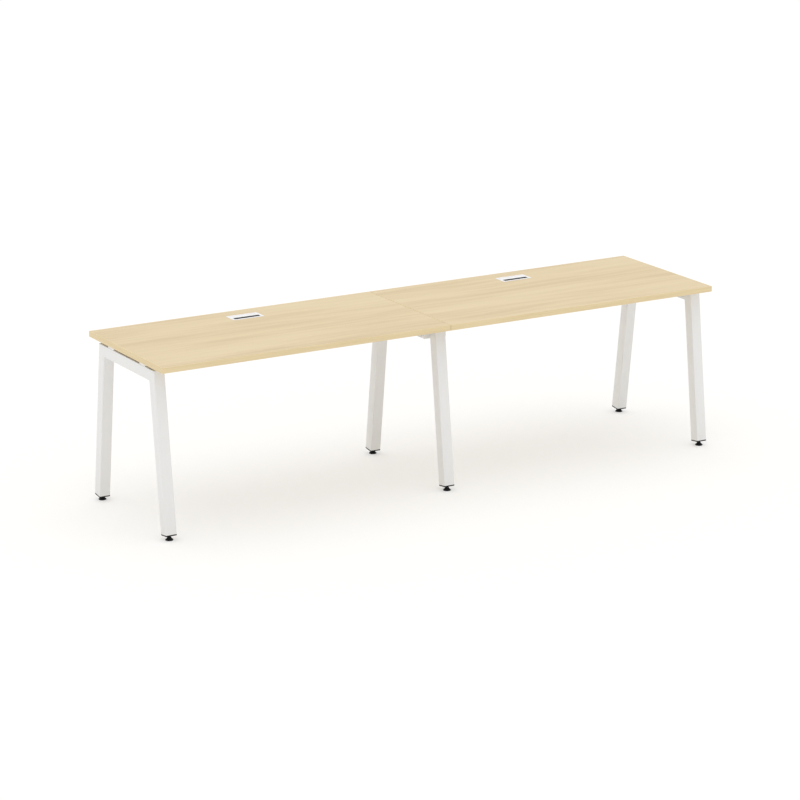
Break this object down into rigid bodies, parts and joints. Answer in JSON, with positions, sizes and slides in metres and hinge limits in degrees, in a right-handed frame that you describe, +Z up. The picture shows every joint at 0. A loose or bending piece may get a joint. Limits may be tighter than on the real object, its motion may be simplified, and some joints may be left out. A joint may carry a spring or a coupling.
{
  "type": "bench desk",
  "caption": "Single-sided bench desk: laminated desktops side by side on white steel A-frames, with cable ports near the rear edge.",
  "frame": {"origin": "on the floor, under the middle of the desk's length and depth", "axes": "+X along the desk, +Y from the sitting side to the rear, +Z up"},
  "size_m": [2.76, 0.7, 0.7515],
  "materials": {
    "desktop_maple": "satin laminate",
    "edge_band_maple": "satin",
    "frame_white": "fine powder coat",
    "beam_white": "fine powder coat",
    "zinc_steel": "zinc plated",
    "spacer_white": "matt",
    "cap_black": "matt",
    "screw_black": "black zinc",
    "pad_black": "matt",
    "port_white": "satin paint",
    "liner_black": "matt",
    "lid_white": "satin paint",
    "pin_steel": "turned"
  },
  "bodies": {
    "desk": {"left_desktop": "desktop_maple", "right_desktop": "desktop_maple", "left_edge_bands": "edge_band_maple", "right_edge_bands": "edge_band_maple", "left_front_leg": "frame_white", "left_rear_leg": "frame_white", "middle_front_leg": "frame_white", "middle_rear_leg": "frame_white", "right_front_leg": "frame_white", "right_rear_leg": "frame_white", "left_cross_rail": "frame_white", "middle_cross_rail": "frame_white", "right_cross_rail": "frame_white", "middle_left_side_rail": "frame_white", "middle_right_side_rail": "frame_white", "left_front_beam": "beam_white", "left_rear_beam": "beam_white", "right_front_beam": "beam_white", "right_rear_beam": "beam_white", "beam_end_plates": "beam_white", "beam_bolts": "zinc_steel", "rail_nuts": "zinc_steel", "rail_pads": "spacer_white", "beam_spacers": "spacer_white", "desktop_screws": "zinc_steel", "left_front_end_cap": "cap_black", "left_rear_end_cap": "cap_black", "middle_front_end_cap": "cap_black", "middle_rear_end_cap": "cap_black", "right_front_end_cap": "cap_black", "right_rear_end_cap": "cap_black", "end_cap_nuts": "zinc_steel", "left_port_frame": "port_white", "right_port_frame": "port_white", "left_port_liner": "liner_black", "right_port_liner": "liner_black"},
    "left_front_screw": {"left_front_foot_screw": "screw_black"},
    "left_rear_screw": {"left_rear_foot_screw": "screw_black"},
    "middle_front_screw": {"middle_front_foot_screw": "screw_black"},
    "middle_rear_screw": {"middle_rear_foot_screw": "screw_black"},
    "right_front_screw": {"right_front_foot_screw": "screw_black"},
    "right_rear_screw": {"right_rear_foot_screw": "screw_black"},
    "left_front_foot": {"left_front_foot_pad": "pad_black"},
    "left_rear_foot": {"left_rear_foot_pad": "pad_black"},
    "middle_front_foot": {"middle_front_foot_pad": "pad_black"},
    "middle_rear_foot": {"middle_rear_foot_pad": "pad_black"},
    "right_front_foot": {"right_front_foot_pad": "pad_black"},
    "right_rear_foot": {"right_rear_foot_pad": "pad_black"},
    "left_lid": {"left_port_lid": "lid_white", "left_lid_pins": "pin_steel"},
    "right_lid": {"right_port_lid": "lid_white", "right_lid_pins": "pin_steel"}
  },
  "joints": [
    {"name": "left_front_foot_height", "type": "slide", "parent": "desk", "child": "left_front_foot", "axis": [0, -0.1219, -0.9925], "range_m": [-0.001, 0.015]},
    {"name": "left_front_screw_turn", "type": "hinge", "parent": "left_front_foot", "child": "left_front_screw", "pos_m": [-1.351, -0.323, 0.008], "axis": [0, -0.1219, -0.9925], "range_deg": [-241, 3601]},
    {"name": "left_rear_foot_height", "type": "slide", "parent": "desk", "child": "left_rear_foot", "axis": [0, 0.1219, -0.9925], "range_m": [-0.001, 0.015]},
    {"name": "left_rear_screw_turn", "type": "hinge", "parent": "left_rear_foot", "child": "left_rear_screw", "pos_m": [-1.351, 0.323, 0.008], "axis": [0, 0.1219, -0.9925], "range_deg": [-241, 3601]},
    {"name": "middle_front_foot_height", "type": "slide", "parent": "desk", "child": "middle_front_foot", "axis": [0, -0.1219, -0.9925], "range_m": [-0.001, 0.015]},
    {"name": "middle_front_screw_turn", "type": "hinge", "parent": "middle_front_foot", "child": "middle_front_screw", "pos_m": [0, -0.323, 0.008], "axis": [0, -0.1219, -0.9925], "range_deg": [-241, 3601]},
    {"name": "middle_rear_foot_height", "type": "slide", "parent": "desk", "child": "middle_rear_foot", "axis": [0, 0.1219, -0.9925], "range_m": [-0.001, 0.015]},
    {"name": "middle_rear_screw_turn", "type": "hinge", "parent": "middle_rear_foot", "child": "middle_rear_screw", "pos_m": [0, 0.323, 0.008], "axis": [0, 0.1219, -0.9925], "range_deg": [-241, 3601]},
    {"name": "right_front_foot_height", "type": "slide", "parent": "desk", "child": "right_front_foot", "axis": [0, -0.1219, -0.9925], "range_m": [-0.001, 0.015]},
    {"name": "right_front_screw_turn", "type": "hinge", "parent": "right_front_foot", "child": "right_front_screw", "pos_m": [1.351, -0.323, 0.008], "axis": [0, -0.1219, -0.9925], "range_deg": [-241, 3601]},
    {"name": "right_rear_foot_height", "type": "slide", "parent": "desk", "child": "right_rear_foot", "axis": [0, 0.1219, -0.9925], "range_m": [-0.001, 0.015]},
    {"name": "right_rear_screw_turn", "type": "hinge", "parent": "right_rear_foot", "child": "right_rear_screw", "pos_m": [1.351, 0.323, 0.008], "axis": [0, 0.1219, -0.9925], "range_deg": [-241, 3601]},
    {"name": "left_lid_hinge", "type": "hinge", "parent": "desk", "child": "left_lid", "pos_m": [-0.6905, 0.2577, 0.749], "axis": [-1, 0, 0], "range_deg": [0, 100]},
    {"name": "right_lid_hinge", "type": "hinge", "parent": "desk", "child": "right_lid", "pos_m": [0.6905, 0.2577, 0.749], "axis": [-1, 0, 0], "range_deg": [0, 100]}
  ],
  "couplings": [
    {"joint": "left_front_screw_turn", "follows": "left_front_foot_height", "rad_per_m": 4188.8},
    {"joint": "left_rear_screw_turn", "follows": "left_rear_foot_height", "rad_per_m": 4188.8},
    {"joint": "middle_front_screw_turn", "follows": "middle_front_foot_height", "rad_per_m": 4188.8},
    {"joint": "middle_rear_screw_turn", "follows": "middle_rear_foot_height", "rad_per_m": 4188.8},
    {"joint": "right_front_screw_turn", "follows": "right_front_foot_height", "rad_per_m": 4188.8},
    {"joint": "right_rear_screw_turn", "follows": "right_rear_foot_height", "rad_per_m": 4188.8}
  ]
}
